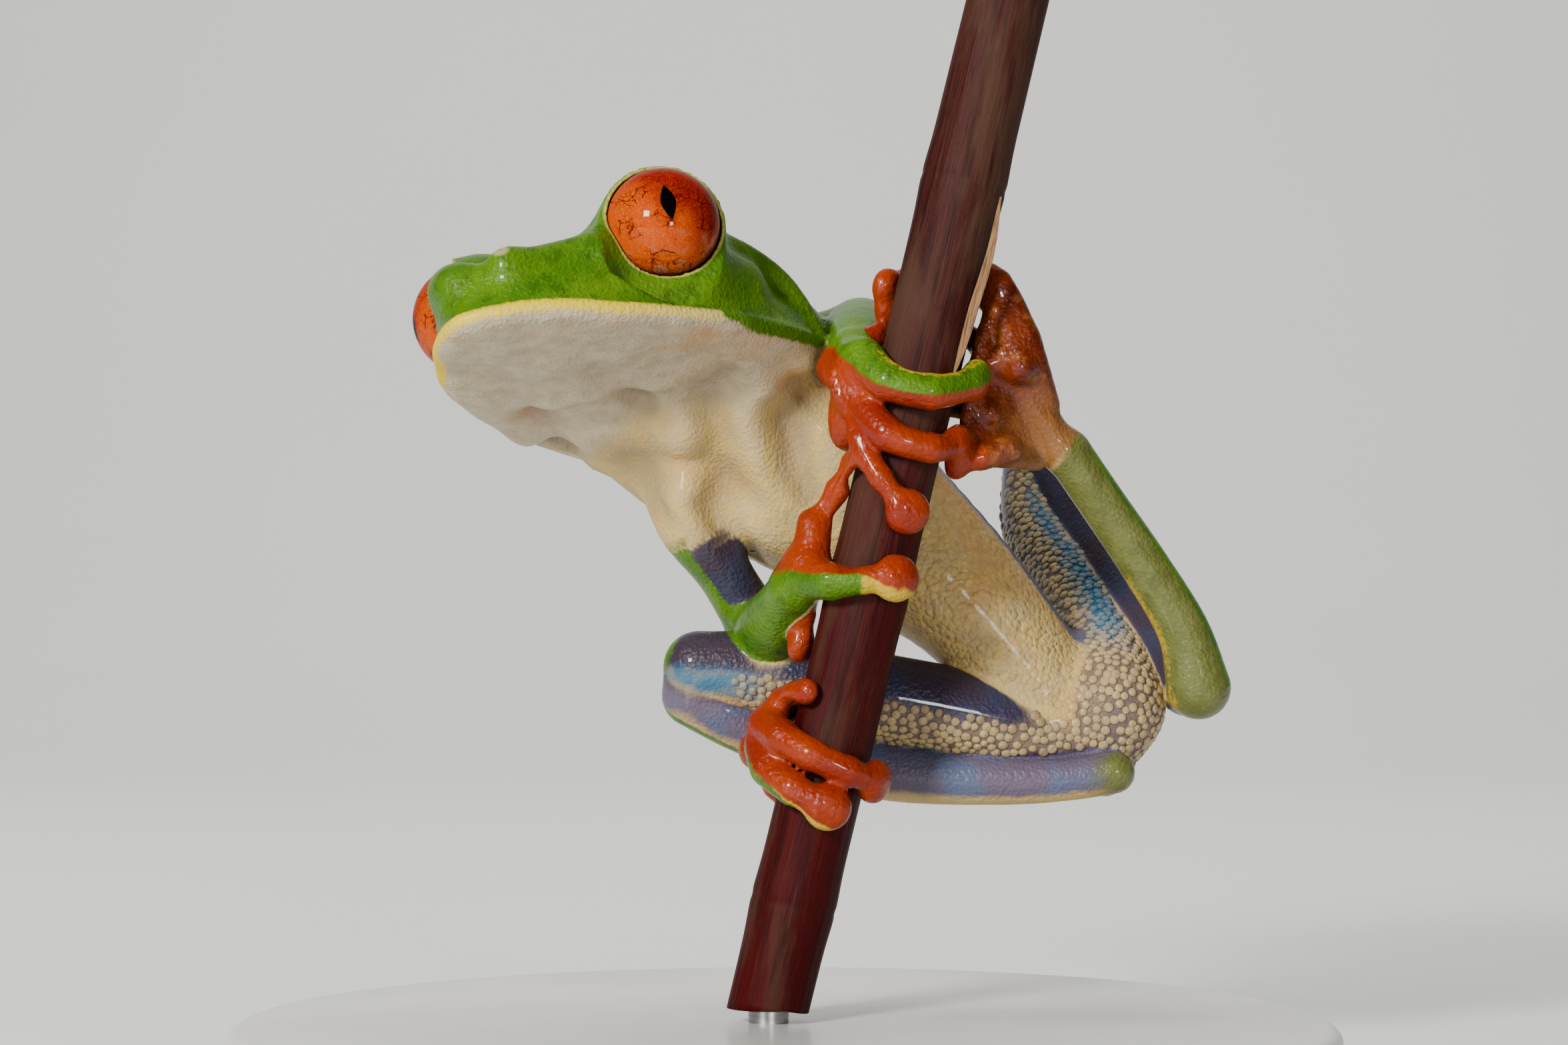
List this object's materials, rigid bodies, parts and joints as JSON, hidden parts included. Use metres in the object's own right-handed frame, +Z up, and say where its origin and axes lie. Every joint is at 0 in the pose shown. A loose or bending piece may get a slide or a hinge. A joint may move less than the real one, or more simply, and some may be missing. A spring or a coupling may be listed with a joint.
{
  "type": "red-eyed tree frog on a perch",
  "caption": "Life-size still model of a red-eyed tree frog clasping a short leaning plant stem, held up by a flat round base and a short rod.",
  "frame": {"origin": "centre of the underside of the round base, on the floor", "axes": "+Z up; +X towards the frog's rump; -Y the side the free face of the stem and the frog's belly look towards"},
  "size_m": [0.06, 0.06, 0.0605],
  "materials": {
    "skin_green": "wet leaf-green skin of the back, finely granular",
    "skin_cream": "cream belly and throat skin with soft folds, granular under the thighs",
    "skin_blue": "smooth blue to purple skin of the hidden flank and limb sides",
    "skin_orange": "wet orange skin of the hands, feet, webs and pads",
    "skin_leaf": "grey-green skin of the tarsus with a yellowish edge",
    "eye": "red iris with darker veins, an upright slit pupil and a clear wet cornea",
    "bark": "reddish-purple green-wood bark with fine grey fibres",
    "dry_bark": "dry tan strip of lifted bark",
    "stand_base": "dark stained and sealed wooden disc",
    "stand_rod": "plain brushed steel pin"
  },
  "bodies": {
    "root": {"head": "skin_green", "trunk": "skin_cream", "eye_left": "eye", "upper_arm_left": "skin_blue", "forearm_left": "skin_green", "hand_left": "skin_orange", "finger_1_left": "skin_orange", "finger_2_left": "skin_orange", "finger_3_left": "skin_orange", "finger_4_left": "skin_orange", "thigh_left": "skin_cream", "shank_left": "skin_blue", "tarsus_left": "skin_leaf", "foot_left": "skin_orange", "toe_1_left": "skin_orange", "toe_2_left": "skin_orange", "toe_3_left": "skin_orange", "toe_4_left": "skin_orange", "toe_5_left": "skin_orange", "eye_right": "eye", "upper_arm_right": "skin_blue", "forearm_right": "skin_green", "hand_right": "skin_orange", "finger_1_right": "skin_orange", "finger_2_right": "skin_orange", "finger_3_right": "skin_orange", "finger_4_right": "skin_orange", "thigh_right": "skin_cream", "shank_right": "skin_blue", "tarsus_right": "skin_leaf", "foot_right": "skin_orange", "toe_1_right": "skin_orange", "toe_2_right": "skin_orange", "toe_3_right": "skin_orange", "toe_4_right": "skin_orange", "toe_5_right": "skin_orange", "perch_stem": "bark", "perch_bark_strip": "dry_bark", "stand_base": "stand_base", "stand_rod": "stand_rod"}
  },
  "joints": []
}
